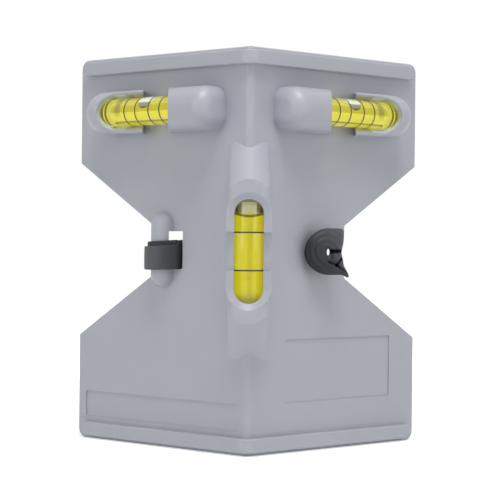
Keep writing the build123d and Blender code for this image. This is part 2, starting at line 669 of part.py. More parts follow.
def make_tail():
    """Pulled-through end of the strap: flare, domed front and narrow bore, flat on the right."""
    root = tail_section(0, 0, TAIL_ROOT_HALF_X, TAIL_ROOT_HALF_Z)
    throat = tail_section(
        TAIL_THROAT_AHEAD, TAIL_THROAT_TILT, TAIL_THROAT_HALF_X, TAIL_THROAT_HALF_Z
    )
    rim = tail_section(TAIL_RIM_AHEAD, TAIL_RIM_TILT, TAIL_RIM_HALF_X, TAIL_RIM_HALF_Z)
    shoulder = tail_section(
        TAIL_SHOULDER_AHEAD, TAIL_SHOULDER_TILT, TAIL_SHOULDER_HALF_X, TAIL_SHOULDER_HALF_Z
    )
    crown = tail_section(TAIL_CROWN_AHEAD, TAIL_CROWN_TILT, TAIL_CROWN_HALF_X, TAIL_CROWN_HALF_Z)
    head = loft([root, throat, rim]) + loft([rim, shoulder, crown])
    floor = tail_section(
        TAIL_CROWN_AHEAD - TAIL_DIMPLE_DEPTH, 0, TAIL_BORE_HALF_X, TAIL_BORE_HALF_Z
    )
    mouth = tail_section(
        TAIL_CROWN_AHEAD,
        TAIL_CROWN_TILT,
        TAIL_CROWN_HALF_X - TAIL_DIMPLE_MARGIN,
        TAIL_CROWN_HALF_Z - TAIL_DIMPLE_MARGIN,
    )
    bore = extrude(floor, REACH, both=True)
    keep_x = NOTCH_FLOOR_X - TAIL_FLAT_MARGIN
    keep = Pos(keep_x - REACH / 2, 0, MIDDLE) * Box(REACH, 2 * REACH, HEIGHT)
    return (head - loft([floor, mouth]) - bore) & keep


LEVEL_LINES = {
    "outer_line_a": -LEVEL_LINE_INNER - LEVEL_LINE_STEP,
    "inner_line_a": -LEVEL_LINE_INNER,
    "inner_line_b": LEVEL_LINE_INNER,
    "outer_line_b": LEVEL_LINE_INNER + LEVEL_LINE_STEP,
}
RIDGE_LINES = {"lower_line": -RIDGE_LINE_OFFSET, "upper_line": RIDGE_LINE_OFFSET}


def vial_pieces(lines, bubble):
    """The pieces of one vial, drawn about X: tube, plug, fluid, bubble and painted lines."""
    pieces = {
        "tube": vial_tube(),
        "plug": vial_plug(),
        "fluid": revolve(chamber_profile(FLUID_GAP), Axis.X) - bubble(BUBBLE_SKIN_GAP),
        "bubble": bubble(NO_LENGTH),
    }
    for name, place in lines.items():
        pieces[name] = vial_line(place)
    return pieces


nodes = {"moulded_frame": make_frame()}
for name, piece in vial_pieces(LEVEL_LINES, level_bubble).items():
    nodes["right_vial_" + name] = to_level(piece)
    nodes["left_vial_" + name] = to_left(to_level(piece))
for name, piece in vial_pieces(RIDGE_LINES, ridge_bubble).items():
    nodes["ridge_vial_" + name] = to_ridge(piece)
nodes["strap_loop"] = make_loop()
nodes["strap_band"] = make_band()
nodes["strap_neck"] = make_neck()
nodes["strap_tail"] = make_tail()

os.makedirs("parts", exist_ok=True)
for name, shape in nodes.items():
    export_step(Pos(0, -CENTRE_Y, 0) * shape, f"parts/{name}.step")
print("centre of the box behind the ridge, mm:", round(CENTRE_Y, 3))
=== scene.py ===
from math import pi, radians
import bmesh
import bpy
import numpy as np
from mathutils import Matrix, Vector


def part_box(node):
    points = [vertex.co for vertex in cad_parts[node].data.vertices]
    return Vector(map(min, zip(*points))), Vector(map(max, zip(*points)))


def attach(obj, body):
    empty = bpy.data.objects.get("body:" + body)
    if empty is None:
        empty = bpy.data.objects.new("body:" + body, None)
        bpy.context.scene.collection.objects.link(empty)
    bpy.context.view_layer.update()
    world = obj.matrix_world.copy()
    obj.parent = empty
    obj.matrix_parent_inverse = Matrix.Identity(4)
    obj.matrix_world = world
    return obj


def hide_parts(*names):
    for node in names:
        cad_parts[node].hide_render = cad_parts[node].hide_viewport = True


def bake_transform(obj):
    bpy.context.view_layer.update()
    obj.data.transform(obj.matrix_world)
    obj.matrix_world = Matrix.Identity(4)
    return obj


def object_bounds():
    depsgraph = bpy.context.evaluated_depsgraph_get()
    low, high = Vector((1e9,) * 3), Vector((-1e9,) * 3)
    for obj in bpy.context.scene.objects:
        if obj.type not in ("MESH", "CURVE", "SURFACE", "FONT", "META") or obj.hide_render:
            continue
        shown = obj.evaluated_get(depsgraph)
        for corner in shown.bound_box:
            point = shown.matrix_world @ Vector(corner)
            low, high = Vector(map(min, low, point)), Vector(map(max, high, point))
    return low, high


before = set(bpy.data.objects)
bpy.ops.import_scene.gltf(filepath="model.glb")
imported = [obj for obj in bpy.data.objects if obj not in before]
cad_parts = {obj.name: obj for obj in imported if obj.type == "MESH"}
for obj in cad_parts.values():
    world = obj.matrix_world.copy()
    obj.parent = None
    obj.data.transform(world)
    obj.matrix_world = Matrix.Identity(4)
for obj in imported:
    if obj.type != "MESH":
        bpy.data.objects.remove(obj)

cad_low, cad_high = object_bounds()

# Moulded frame: one injection moulding in grey plastic with a fine, even grain. Its rims,
# vial housings and strap bar are moulded in one piece with the two wings.
BODY_LIGHT = (0.390, 0.405, 0.458, 1.0)
BODY_DARK = (0.360, 0.375, 0.428, 1.0)
BODY_ROUGHNESS = 0.38
BODY_GLOSS = 0.5
GRAIN_SIZE = 0.00035
GRAIN_DEPTH = 0.00002
GRAIN_DETAIL = 2.0
CLOUD_SCALE = 60.0
CLOUD_DETAIL = 3.0


def shader_parts(material):
    """Node tree of a material and its Principled BSDF."""
    material.use_nodes = True
    tree = material.node_tree
    return tree, tree.nodes["Principled BSDF"]


def wire(tree, start, end):
    """Links an output socket to an input socket."""
    tree.links.new(start, end)


def grain_group():
    """Node group: bump height and a soft colour mask from two scales of noise in object space."""
    group = bpy.data.node_groups.new("moulding_grain", "ShaderNodeTree")
    group.interface.new_socket("Size", in_out="INPUT", socket_type="NodeSocketFloat")
    group.interface.new_socket("Height", in_out="OUTPUT", socket_type="NodeSocketFloat")
    group.interface.new_socket("Clouds", in_out="OUTPUT", socket_type="NodeSocketFloat")
    nodes = group.nodes
    inlet = nodes.new("NodeGroupInput")
    outlet = nodes.new("NodeGroupOutput")
    place = nodes.new("ShaderNodeTexCoord")
    inverse = nodes.new("ShaderNodeMath")
    inverse.operation = "DIVIDE"
    inverse.inputs[0].default_value = 1.0
    fine = nodes.new("ShaderNodeTexNoise")
    fine.inputs["Detail"].default_value = GRAIN_DETAIL
    coarse = nodes.new("ShaderNodeTexNoise")
    coarse.inputs["Scale"].default_value = CLOUD_SCALE
    coarse.inputs["Detail"].default_value = CLOUD_DETAIL
    wire(group, inlet.outputs["Size"], inverse.inputs[1])
    wire(group, inverse.outputs[0], fine.inputs["Scale"])
    wire(group, place.outputs["Object"], fine.inputs["Vector"])
    wire(group, place.outputs["Object"], coarse.inputs["Vector"])
    wire(group, fine.outputs["Fac"], outlet.inputs["Height"])
    wire(group, coarse.outputs["Fac"], outlet.inputs["Clouds"])
    return group


GRAIN = grain_group()


def grained(name, dark, light, grain_size, grain_depth):
    """Material of two close colours in soft clouds, with a fine grain as bump."""
    material = bpy.data.materials.new(name)
    tree, surface = shader_parts(material)
    grain = tree.nodes.new("ShaderNodeGroup")
    grain.node_tree = GRAIN
    grain.inputs["Size"].default_value = grain_size
    blend = tree.nodes.new("ShaderNodeMix")
    blend.data_type = "RGBA"
    blend.inputs["A"].default_value = dark
    blend.inputs["B"].default_value = light
    bump = tree.nodes.new("ShaderNodeBump")
    bump.inputs["Distance"].default_value = grain_depth
    wire(tree, grain.outputs["Clouds"], blend.inputs["Factor"])
    wire(tree, blend.outputs["Result"], surface.inputs["Base Color"])
    wire(tree, grain.outputs["Height"], bump.inputs["Height"])
    wire(tree, bump.outputs["Normal"], surface.inputs["Normal"])
    return material, surface


def dress(node, material):
    """Gives a node's own mesh a material."""
    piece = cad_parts[node]
    piece.data.materials.clear()
    piece.data.materials.append(material)


grey_plastic, grey_surface = grained("grey_moulding", BODY_DARK, BODY_LIGHT, GRAIN_SIZE, GRAIN_DEPTH)
grey_surface.inputs["Roughness"].default_value = BODY_ROUGHNESS
grey_surface.inputs["Specular IOR Level"].default_value = BODY_GLOSS
dress("moulded_frame", grey_plastic)

# Vial tubes and plugs: clear cast acrylic, polished, with a solid round nose. A plug closes
# the rear of each tube, which is pushed into its housing.
VIAL_CLEAR = (0.94, 0.95, 0.80, 1.0)
# The nose's yellow tint and glow are painted light from the liquid; its dark ring is painted shade.
NOSE_PAINTED_LIGHT = (0.90, 0.84, 0.20, 1.0)
NOSE_PAINTED_GLOW = (0.22, 0.19, 0.015, 1.0)
NOSE_PAINTED_SHADE = (0.09, 0.07, 0.010, 1.0)
NO_LIGHT = (0.0, 0.0, 0.0, 1.0)
# Painted light in the cavities round the level vials' noses.
HOUSING_PAINTED_LIGHT = (0.58, 0.66, 0.80, 1.0)
HOUSING_RADIUS = 0.0061
HOUSING_MIDDLE = 0.0170
HOUSING_HALF = 0.0050
HOUSING_FADE = 0.0004
HOUSING_END_FADE = 0.001
BORE_EDGE = 0.0041
BORE_HALF_LENGTH = 0.0175
BORE_FADE = 0.0001
SHADOW_LEFT_OUT = 0.9
NOSE_RISE = (0.0172, 0.0188)
NOSE_SHADE_RING_BAND = (0.0184, 0.0004, 0.0006)
ACRYLIC_ROUGHNESS = 0.03
ACRYLIC_GLOSS = 0.3
ACRYLIC_IOR = 1.49
POLISH_SCALE = 400.0
POLISH_DEPTH = 0.00001
SIDES = {"left": radians(135), "right": radians(45)}


def vial_place(vial):
    """Middle of a vial between its two inner lines, and the turn that puts its axis along X."""
    if vial == "ridge":
        names, turn = ("lower_line", "upper_line"), (0.0, -pi / 2, 0.0)
    else:
        names, turn = ("inner_line_a", "inner_line_b"), (0.0, 0.0, SIDES[vial])
    corners = [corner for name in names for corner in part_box(f"{vial}_vial_{name}")]
    return sum(corners, Vector()) / len(corners), turn


def vial_coordinates(tree, vial):
    """X along the vial from its middle to its nose, Y and Z across it, as separate values."""
    middle, turn = vial_place(vial)
    place = tree.nodes.new("ShaderNodeTexCoord")
    turned = tree.nodes.new("ShaderNodeMapping")
    turned.vector_type = "TEXTURE"
    turned.inputs["Location"].default_value = middle
    turned.inputs["Rotation"].default_value = turn
    split = tree.nodes.new("ShaderNodeSeparateXYZ")
    wire(tree, place.outputs["Object"], turned.inputs["Vector"])
    wire(tree, turned.outputs["Vector"], split.inputs[0])
    return turned.outputs["Vector"], split.outputs


def put(tree, value, socket):
    """Gives an input socket a plain value, or links an output socket to it."""
    if isinstance(value, (int, float, tuple)):
        socket.default_value = value
    else:
        wire(tree, value, socket)


def sums(tree, operation, first, second=0.0):
    """One Math node; either value may be a socket or a number."""
    node = tree.nodes.new("ShaderNodeMath")
    node.operation = operation
    put(tree, first, node.inputs[0])
    put(tree, second, node.inputs[1])
    return node.outputs[0]


def steps(tree, value, low, high):
    """Smooth step of a value: 0 at low, 1 at high, which may lie on either side of low.

    A value named RISE holds low and high.
    """
    node = tree.nodes.new("ShaderNodeMapRange")
    node.interpolation_type = "SMOOTHSTEP"
    node.inputs["From Min"].default_value = low
    node.inputs["From Max"].default_value = high
    wire(tree, value, node.inputs["Value"])
    return node.outputs["Result"]


def band(tree, value, middle, half, soft):
    """1 where a value lies within half of a middle, fading to 0 over a soft edge.

    A value named BAND holds the middle, the half width and the soft edge.
    """
    off = sums(tree, "ABSOLUTE", sums(tree, "SUBTRACT", value, middle))
    return steps(tree, off, half + soft, half)


def colours(tree, mask, off, on):
    """Mix of two colours, each a socket or a value, by a mask."""
    node = tree.nodes.new("ShaderNodeMix")
    node.data_type = "RGBA"
    put(tree, mask, node.inputs["Factor"])
    put(tree, off, node.inputs["A"])
    put(tree, on, node.inputs["B"])
    return node.outputs["Result"]


def from_axis(tree, across, up):
    """Distance from a vial's axis."""
    squares = sums(tree, "ADD", sums(tree, "MULTIPLY", across, across), sums(tree, "MULTIPLY", up, up))
    return sums(tree, "SQRT", squares)


def clear_acrylic(vial):
    """Polished acrylic: the liquid wets the bore, so the bore itself doesn't show. The nose has
    painted yellow light, a painted glow and a painted dark ring.
    """
    material = bpy.data.materials.new(f"{vial}_clear_acrylic")
    tree, surface = shader_parts(material)
    vector, (along, across, up) = vial_coordinates(tree, vial)
    outside = steps(tree, from_axis(tree, across, up), BORE_EDGE, BORE_EDGE + BORE_FADE)
    beyond = steps(tree, sums(tree, "ABSOLUTE", along), BORE_HALF_LENGTH, BORE_HALF_LENGTH + BORE_FADE)
    skin = sums(tree, "MAXIMUM", outside, beyond)
    light_path = tree.nodes.new("ShaderNodeLightPath")
    shade = sums(tree, "MULTIPLY", light_path.outputs["Is Shadow Ray"], SHADOW_LEFT_OUT)
    unshaded = sums(tree, "SUBTRACT", 1.0, shade)
    wire(tree, sums(tree, "MULTIPLY", skin, unshaded), surface.inputs["Alpha"])
    # Painted light: a yellow tint and a glow in the nose. Painted shade: a dark ring where the bore
    # ends.
    nose = steps(tree, along, *NOSE_RISE)
    ring = band(tree, along, *NOSE_SHADE_RING_BAND)
    painted_nose_light = colours(tree, nose, VIAL_CLEAR, NOSE_PAINTED_LIGHT)
    wire(tree, colours(tree, ring, painted_nose_light, NOSE_PAINTED_SHADE), surface.inputs["Base Color"])
    glow = colours(tree, nose, NO_LIGHT, NOSE_PAINTED_GLOW)
    wire(tree, colours(tree, ring, glow, NO_LIGHT), surface.inputs["Emission Color"])
    surface.inputs["Emission Strength"].default_value = 1.0
    noise = tree.nodes.new("ShaderNodeTexNoise")
    noise.inputs["Scale"].default_value = POLISH_SCALE
    wire(tree, vector, noise.inputs["Vector"])
    bump = tree.nodes.new("ShaderNodeBump")
    bump.inputs["Distance"].default_value = POLISH_DEPTH
    wire(tree, noise.outputs["Fac"], bump.inputs["Height"])
    wire(tree, bump.outputs["Normal"], surface.inputs["Normal"])
    surface.inputs["Transmission Weight"].default_value = 1.0
    surface.inputs["Roughness"].default_value = ACRYLIC_ROUGHNESS
    surface.inputs["IOR"].default_value = ACRYLIC_IOR
    surface.inputs["Specular IOR Level"].default_value = ACRYLIC_GLOSS
    return material


def paint_light_in_housings():
    """Painted light: lightens the grey plastic in the cavities round the level vials' noses."""
    tree = grey_plastic.node_tree
    tone = grey_surface.inputs["Base Color"].links[0].from_socket
    for vial in SIDES:
        along, across, up = vial_coordinates(tree, vial)[1]
        away = from_axis(tree, across, up)
        near = steps(tree, away, HOUSING_RADIUS + HOUSING_FADE, HOUSING_RADIUS)
        beside = band(tree, along, HOUSING_MIDDLE, HOUSING_HALF, HOUSING_END_FADE)
        tone = colours(tree, sums(tree, "MULTIPLY", near, beside), tone, HOUSING_PAINTED_LIGHT)
    wire(tree, tone, grey_surface.inputs["Base Color"])


for vial in ("left", "right", "ridge"):
    acrylic = clear_acrylic(vial)
    dress(f"{vial}_vial_tube", acrylic)
    dress(f"{vial}_vial_plug", acrylic)
paint_light_in_housings()

# Vial liquid: a bright yellow-green dyed spirit that fills each tube, with fine streaks along the
# bore.
# Its glow is painted light; its pale top, darker bands, darker tone towards the plug and meniscus line
# are painted light and shade.
LIQUID_BRIGHT = (0.84, 0.77, 0.015, 1.0)
LIQUID_DEEP = (0.58, 0.51, 0.0, 1.0)
# The pale tone is a painted highlight; the olive and dark tones below are painted shade.
LIQUID_PAINTED_HIGHLIGHT = (0.66, 0.59, 0.070, 1.0)
LIQUID_ORANGE = (0.66, 0.53, 0.020, 1.0)
LIQUID_OLIVE_SHADE = (0.29, 0.24, 0.020, 1.0)
LIQUID_MENISCUS_SHADE = (0.17, 0.13, 0.004, 1.0)
LIQUID_CLEARANCE = 0.0001
LIQUID_PAINTED_GLOW = 0.72
LIQUID_SHARE = 0.22
LIQUID_ROUGHNESS = 0.4
STREAK_SCALE = (12.0, 330.0, 330.0)
STREAK_DETAIL = 2.0
STREAK_RISE = (0.35, 0.62)
STREAK_SHARE = 0.35
# Bands and rises of painted light and shade in the liquid.
LEVEL_SHADE_BAND = (0.00075, 0.0008, 0.0004)
LEVEL_HIGHLIGHT_RISE = (0.0017, 0.0023)
LEVEL_LOW_SHADE_BAND = (-0.0029, 0.0001, 0.0002)
LEVEL_NOSE_SHADE_BAND = (0.0131, 0.0008, 0.0013)
LEVEL_NOSE_SHADE_RISE = (-0.0024, 0.0006)
LEVEL_NOSE_SHADE_SHARE = 0.8
RIDGE_DEEP_SHARE = 0.55
RIDGE_SHADE_BAND = (-0.0003, 0.0005, 0.0005)
RIDGE_ORANGE_RISE = (-0.0025, -0.0034)
RIDGE_END_SHADE_RISE = (-0.0125, -0.0165)
MENISCUS_BOW = 70.0
MENISCUS_SHADE_BAND = (0.0113, 0.0003, 0.0003)


def level_painted_shading(tree, tone, along, up):
    """Painted light and shade on a level vial's liquid: deep above the middle, pale on top, olive low
    down and at the nose.
    """
    tone = colours(tree, band(tree, up, *LEVEL_SHADE_BAND), tone, LIQUID_DEEP)
    tone = colours(tree, steps(tree, up, *LEVEL_HIGHLIGHT_RISE), tone, LIQUID_PAINTED_HIGHLIGHT)
    tone = colours(tree, band(tree, up, *LEVEL_LOW_SHADE_BAND), tone, LIQUID_OLIVE_SHADE)
    by_nose = band(tree, along, *LEVEL_NOSE_SHADE_BAND)
    near_nose = sums(tree, "MULTIPLY", by_nose, steps(tree, up, *LEVEL_NOSE_SHADE_RISE))
    shade = sums(tree, "MULTIPLY", near_nose, LEVEL_NOSE_SHADE_SHARE)
    return colours(tree, shade, tone, LIQUID_OLIVE_SHADE)


def ridge_painted_shading(tree, tone, along, up):
    """Colours of the ridge vial's liquid: a deeper tone, painted shade deep in the middle, orange at
    the right, painted olive shade at one end and a painted dark meniscus line.
    """
    tone = colours(tree, RIDGE_DEEP_SHARE, tone, LIQUID_DEEP)
    tone = colours(tree, band(tree, up, *RIDGE_SHADE_BAND), tone, LIQUID_DEEP)
    tone = colours(tree, steps(tree, up, *RIDGE_ORANGE_RISE), tone, LIQUID_ORANGE)
    tone = colours(tree, steps(tree, along, *RIDGE_END_SHADE_RISE), tone, LIQUID_OLIVE_SHADE)
    # Painted shade: a dark line bowed like the meniscus.
    bow = sums(tree, "MULTIPLY", sums(tree, "MULTIPLY", up, up), MENISCUS_BOW)
    bowed = sums(tree, "SUBTRACT", along, bow)
    return colours(tree, band(tree, bowed, *MENISCUS_SHADE_BAND), tone, LIQUID_MENISCUS_SHADE)


def dyed_liquid(vial):
    """Yellow liquid with streaks of noise drawn out along the bore, its vial's painted light and
    shade, and a painted glow.
    """
    material = bpy.data.materials.new(f"{vial}_dyed_liquid")
    tree, surface = shader_parts(material)
    vector, (along, _, up) = vial_coordinates(tree, vial)
    stretched = tree.nodes.new("ShaderNodeMapping")
    stretched.inputs["Scale"].default_value = STREAK_SCALE
    wire(tree, vector, stretched.inputs["Vector"])
    streaks = tree.nodes.new("ShaderNodeTexNoise")
    streaks.inputs["Scale"].default_value = 1.0
    streaks.inputs["Detail"].default_value = STREAK_DETAIL
    wire(tree, stretched.outputs["Vector"], streaks.inputs["Vector"])
    streak = steps(tree, streaks.outputs["Fac"], *STREAK_RISE)
    streak = sums(tree, "MULTIPLY", streak, STREAK_SHARE)
    tones = ridge_painted_shading if vial == "ridge" else level_painted_shading
    tone = tones(tree, colours(tree, streak, LIQUID_BRIGHT, LIQUID_DEEP), along, up)
    # Painted glow: most of the liquid's colour is emission, and only a small share is lit.
    wire(tree, colours(tree, LIQUID_SHARE, NO_LIGHT, tone), surface.inputs["Base Color"])
    wire(tree, tone, surface.inputs["Emission Color"])
    surface.inputs["Emission Strength"].default_value = LIQUID_PAINTED_GLOW
    surface.inputs["Roughness"].default_value = LIQUID_ROUGHNESS
    surface.inputs["Specular IOR Level"].default_value = 0.0
    return material


for vial in ("left", "right", "ridge"):
    dress(f"{vial}_vial_fluid", dyed_liquid(vial))
    drawn_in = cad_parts[f"{vial}_vial_fluid"].modifiers.new("room_for_bubble", "DISPLACE")
    drawn_in.mid_level = 0.0
    drawn_in.strength = -LIQUID_CLEARANCE

# Air bubbles: each lies against the bore, under the top of a level vial or at the upper end
# of the ridge vial, and ends below in a hollow meniscus.
BUBBLE_SKIN = 0.003480
LEVEL_BUBBLE_HALF = 0.0035
LEVEL_BUBBLE_BLUNT = 0.30
LEVEL_BUBBLE_ANGLE = radians(80)
RIDGE_BUBBLE_LOW = 0.0124
RIDGE_BUBBLE_HIGH = 0.01722
RIDGE_BUBBLE_CORNER = 0.0022
MENISCUS_DIP = 0.0006
MENISCUS_RIM = 0.0001
POLE_GAP = 0.05
LEVEL_BUBBLE_GRID = (41, 48)
RIDGE_BUBBLE_GRID = (33, 64)
# The bubbles' colours are all painted: light and reflections above, shade below and at the edge, and a
# glow.
BUBBLE_PAINTED_HIGHLIGHT = (0.74, 0.75, 0.66, 1.0)
BUBBLE_PAINTED_REFLECTION = (0.43, 0.43, 0.25, 1.0)
BUBBLE_OLIVE_SHADE = (0.21, 0.21, 0.11, 1.0)
BUBBLE_EDGE_SHADE = (0.07, 0.065, 0.012, 1.0)
BUBBLE_PAINTED_GLOW = 0.5
BUBBLE_SHARE = 0.5
BUBBLE_ROUGHNESS = 0.1
RIDGE_PALE_BAND = (0.0, 0.0020, 0.0003)
RIDGE_PALE_RISE = (0.0160, 0.0155)
RIDGE_EDGE_RISE = (0.0027, 0.0034)
LEVEL_WHITE_RISE = (0.0021, 0.0027)
LEVEL_EDGE_RISE = (0.0015, 0.0010)


def grid_faces(rows, columns, close_rows, close_columns):
    """Quads between neighbours of a grid, and round the back of each closed direction."""
    row = np.arange(rows if close_rows else rows - 1)
    column = np.arange(columns if close_columns else columns - 1)
    row, column = np.meshgrid(row, column, indexing="ij")
    next_row = (row + 1) % rows
    next_column = (column + 1) % columns
    corners = (
        row * columns + column,
        next_row * columns + column,
        next_row * columns + next_column,
        row * columns + next_column,
    )
    return np.stack(corners, -1).reshape(-1, 4).tolist()


def surface_piece(name, points, faces, material):
    """A smooth mesh object from a grid of points in metres and its faces."""
    mesh = bpy.data.meshes.new(name)
    mesh.from_pydata(points.reshape(-1, 3).tolist(), [], faces)
    mesh.validate()
    mesh.polygons.foreach_set("use_smooth", [True] * len(mesh.polygons))
    mesh.materials.append(material)
    piece = bpy.data.objects.new(name, mesh)
    bpy.context.scene.collection.objects.link(piece)
    return piece


def in_vial(points, vial):
    """Points given along, across and up in a vial, moved to their place in the frame."""
    middle, (turn_x, turn_y, turn_z) = vial_place(vial)
    turn = Matrix.Rotation(turn_z, 3, "Z") @ Matrix.Rotation(turn_y, 3, "Y")
    return points @ np.array(turn).T + np.array(middle)


def level_bubble_points(rows, columns):
    """Closed tube of points: a patch of the bore's skin above, and a dipped meniscus below.

    At a share s of the half length, the patch reaches an angle from the top that shrinks as
    a low power of 1 - s squared; the meniscus joins its two edges and dips a little between.
    """
    s = np.sin(np.linspace(-pi / 2, pi / 2, rows))[:, None]
    reach = LEVEL_BUBBLE_ANGLE * np.clip(1 - s**2, 1e-4, 1) ** LEVEL_BUBBLE_BLUNT
    half = columns // 2
    over = np.linspace(-1, 1, half)[None, :]
    under = np.linspace(1, -1, columns - half + 2)[None, 1:-1]
    skin_y = BUBBLE_SKIN * np.sin(reach * over)
    skin_z = BUBBLE_SKIN * np.cos(reach * over)
    low_y = BUBBLE_SKIN * np.sin(reach) * under
    low_z = BUBBLE_SKIN * np.cos(reach) - MENISCUS_DIP * (1 - under**2) * (1 - s**2)
    y = np.concatenate([skin_y, low_y], 1)
    z = np.concatenate([skin_z, low_z], 1)
    return np.stack([np.broadcast_to(s * LEVEL_BUBBLE_HALF, y.shape), y, z], -1)


def ridge_bubble_points(rows, columns):
    """Rings of points about the vial's axis: dipped meniscus, straight side and round top."""
    turn = np.linspace(0, 2 * pi, columns, endpoint=False)
    third = rows // 3
    rise = np.linspace(POLE_GAP, 1, third)
    round_off = np.linspace(0, pi / 2 - POLE_GAP, rows - 2 * third)
    shoulder = RIDGE_BUBBLE_HIGH - RIDGE_BUBBLE_CORNER
    rounded = BUBBLE_SKIN - RIDGE_BUBBLE_CORNER * (1 - np.cos(round_off))
    radius = np.concatenate([BUBBLE_SKIN * rise, np.full(third, BUBBLE_SKIN), rounded])
    along = np.concatenate(
        [
            RIDGE_BUBBLE_LOW - MENISCUS_DIP * (1 - rise**2),
            np.linspace(RIDGE_BUBBLE_LOW + MENISCUS_RIM, shoulder, third),
            shoulder + RIDGE_BUBBLE_CORNER * np.sin(round_off),
        ]
    )
    ring = np.stack([np.cos(turn), np.sin(turn)], -1)
    points = np.empty((len(radius), columns, 3))
    points[..., 0] = along[:, None]
    points[..., 1:] = radius[:, None, None] * ring[None]
    return points


def capped(rows, columns):
    """Faces of a tube of rings with a polygon over each end."""
    first = list(range(columns))
    last = [(rows - 1) * columns + i for i in range(columns)]
    return grid_faces(rows, columns, False, True) + [first, last[::-1]]


def bubble_air(vial):
    """Air in the liquid, all painted light and shade: a pale painted reflection of the light above,
    olive painted shade below, a painted dark edge and a painted glow.
    """
    material = bpy.data.materials.new(f"{vial}_bubble_air")
    tree, surface = shader_parts(material)
    along, _, up = vial_coordinates(tree, vial)[1]
    if vial == "ridge":
        pale = band(tree, up, *RIDGE_PALE_BAND)
        pale = sums(tree, "MULTIPLY", pale, steps(tree, along, *RIDGE_PALE_RISE))
        tone = colours(tree, pale, BUBBLE_OLIVE_SHADE, BUBBLE_PAINTED_REFLECTION)
        edge = steps(tree, sums(tree, "ABSOLUTE", up), *RIDGE_EDGE_RISE)
    else:
        tone = colours(tree, steps(tree, up, *LEVEL_WHITE_RISE), BUBBLE_OLIVE_SHADE, BUBBLE_PAINTED_HIGHLIGHT)
        edge = steps(tree, up, *LEVEL_EDGE_RISE)
    tone = colours(tree, edge, tone, BUBBLE_EDGE_SHADE)
    wire(tree, colours(tree, BUBBLE_SHARE, NO_LIGHT, tone), surface.inputs["Base Color"])
    wire(tree, tone, surface.inputs["Emission Color"])
    surface.inputs["Emission Strength"].default_value = BUBBLE_PAINTED_GLOW
    surface.inputs["Roughness"].default_value = BUBBLE_ROUGHNESS
    return material


for vial in ("left", "right", "ridge"):
    shape = ridge_bubble_points if vial == "ridge" else level_bubble_points
    rows, columns = RIDGE_BUBBLE_GRID if vial == "ridge" else LEVEL_BUBBLE_GRID
    faces = [face[::-1] for face in capped(rows, columns)]
    points = in_vial(shape(rows, columns), vial)
    bubble = surface_piece(f"{vial}_bubble", points, faces, bubble_air(vial))
    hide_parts(f"{vial}_vial_bubble")
    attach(bubble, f"{vial}_bubble")

# Printed lines: rings of black ink round the outside of each tube.
INK = (0.022, 0.018, 0.010, 1.0)
INK_WORN = (0.040, 0.033, 0.016, 1.0)
INK_ROUGHNESS = 0.35
INK_GRAIN_SIZE = 0.0002
INK_GRAIN_DEPTH = 0.000004

ink, ink_surface = grained("black_ink", INK, INK_WORN, INK_GRAIN_SIZE, INK_GRAIN_DEPTH)
ink_surface.inputs["Roughness"].default_value = INK_ROUGHNESS
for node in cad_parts:
    if node.endswith(("_line", "_line_a", "_line_b")):
        dress(node, ink)

# Rubber strap: one strap of black rubber, about a millimetre thick with rounded edges. It
# goes twice round the left bar, through the slot, across the V and into the right slot.
RUBBER_DARK = (0.012, 0.013, 0.018, 1.0)
RUBBER_LIGHT = (0.024, 0.026, 0.033, 1.0)
# Painted light: a grey that lightens the rubber where it stands in for the lit side.
RUBBER_PAINTED_LIGHT = (0.078, 0.081, 0.090, 1.0)
STRAP_THICKNESS = 0.001
STRAP_EDGE_ROUND = 0.00035
STRAP_CROWN = 0.00008
PAINTED_LIGHT_OUTER_X = -0.0340
PAINTED_LIGHT_INNER_X = -0.0225
RUBBER_ROUGHNESS = 0.5
RUBBER_GLOSS = 0.3
RUBBER_GRAIN_SIZE = 0.0005
RUBBER_GRAIN_DEPTH = 0.00004
PROFILE_TRACE = 400
PROFILE_START = 0.001
PROFILE_POINTS = 44


def black_rubber(name):
    """Black rubber with a fine grain and a dull shine."""
    material, surface = grained(
        name, RUBBER_DARK, RUBBER_LIGHT, RUBBER_GRAIN_SIZE, RUBBER_GRAIN_DEPTH
    )
    surface.inputs["Roughness"].default_value = RUBBER_ROUGHNESS
    surface.inputs["Specular IOR Level"].default_value = RUBBER_GLOSS
    return material, surface


def rubber_with_painted_side(name):
    """Black rubber with painted light that greys it on the outer side of the left bar."""
    material, surface = black_rubber(name)
    tree = material.node_tree
    plain_tone = surface.inputs["Base Color"].links[0].from_socket
    place = tree.nodes.new("ShaderNodeTexCoord")
    split = tree.nodes.new("ShaderNodeSeparateXYZ")
    wire(tree, place.outputs["Object"], split.inputs[0])
    # Painted light on the outer side of the left bar, fading towards the slot.
    painted_light_mask = steps(tree, split.outputs["X"], PAINTED_LIGHT_INNER_X, PAINTED_LIGHT_OUTER_X)
    wire(tree, colours(tree, painted_light_mask, plain_tone, RUBBER_PAINTED_LIGHT), surface.inputs["Base Color"])
    return material


def evenly(points, count, closed):
    """Points at even steps along a polyline, found by its running length."""
    if closed:
        points = np.concatenate([points, points[:1]])
    length = np.concatenate([[0], np.cumsum(np.linalg.norm(np.diff(points, axis=0), axis=1))])
    at = np.linspace(0, length[-1], count, endpoint=not closed)
    return np.stack([np.interp(at, length, points[:, axis]) for axis in range(points.shape[1])], -1)


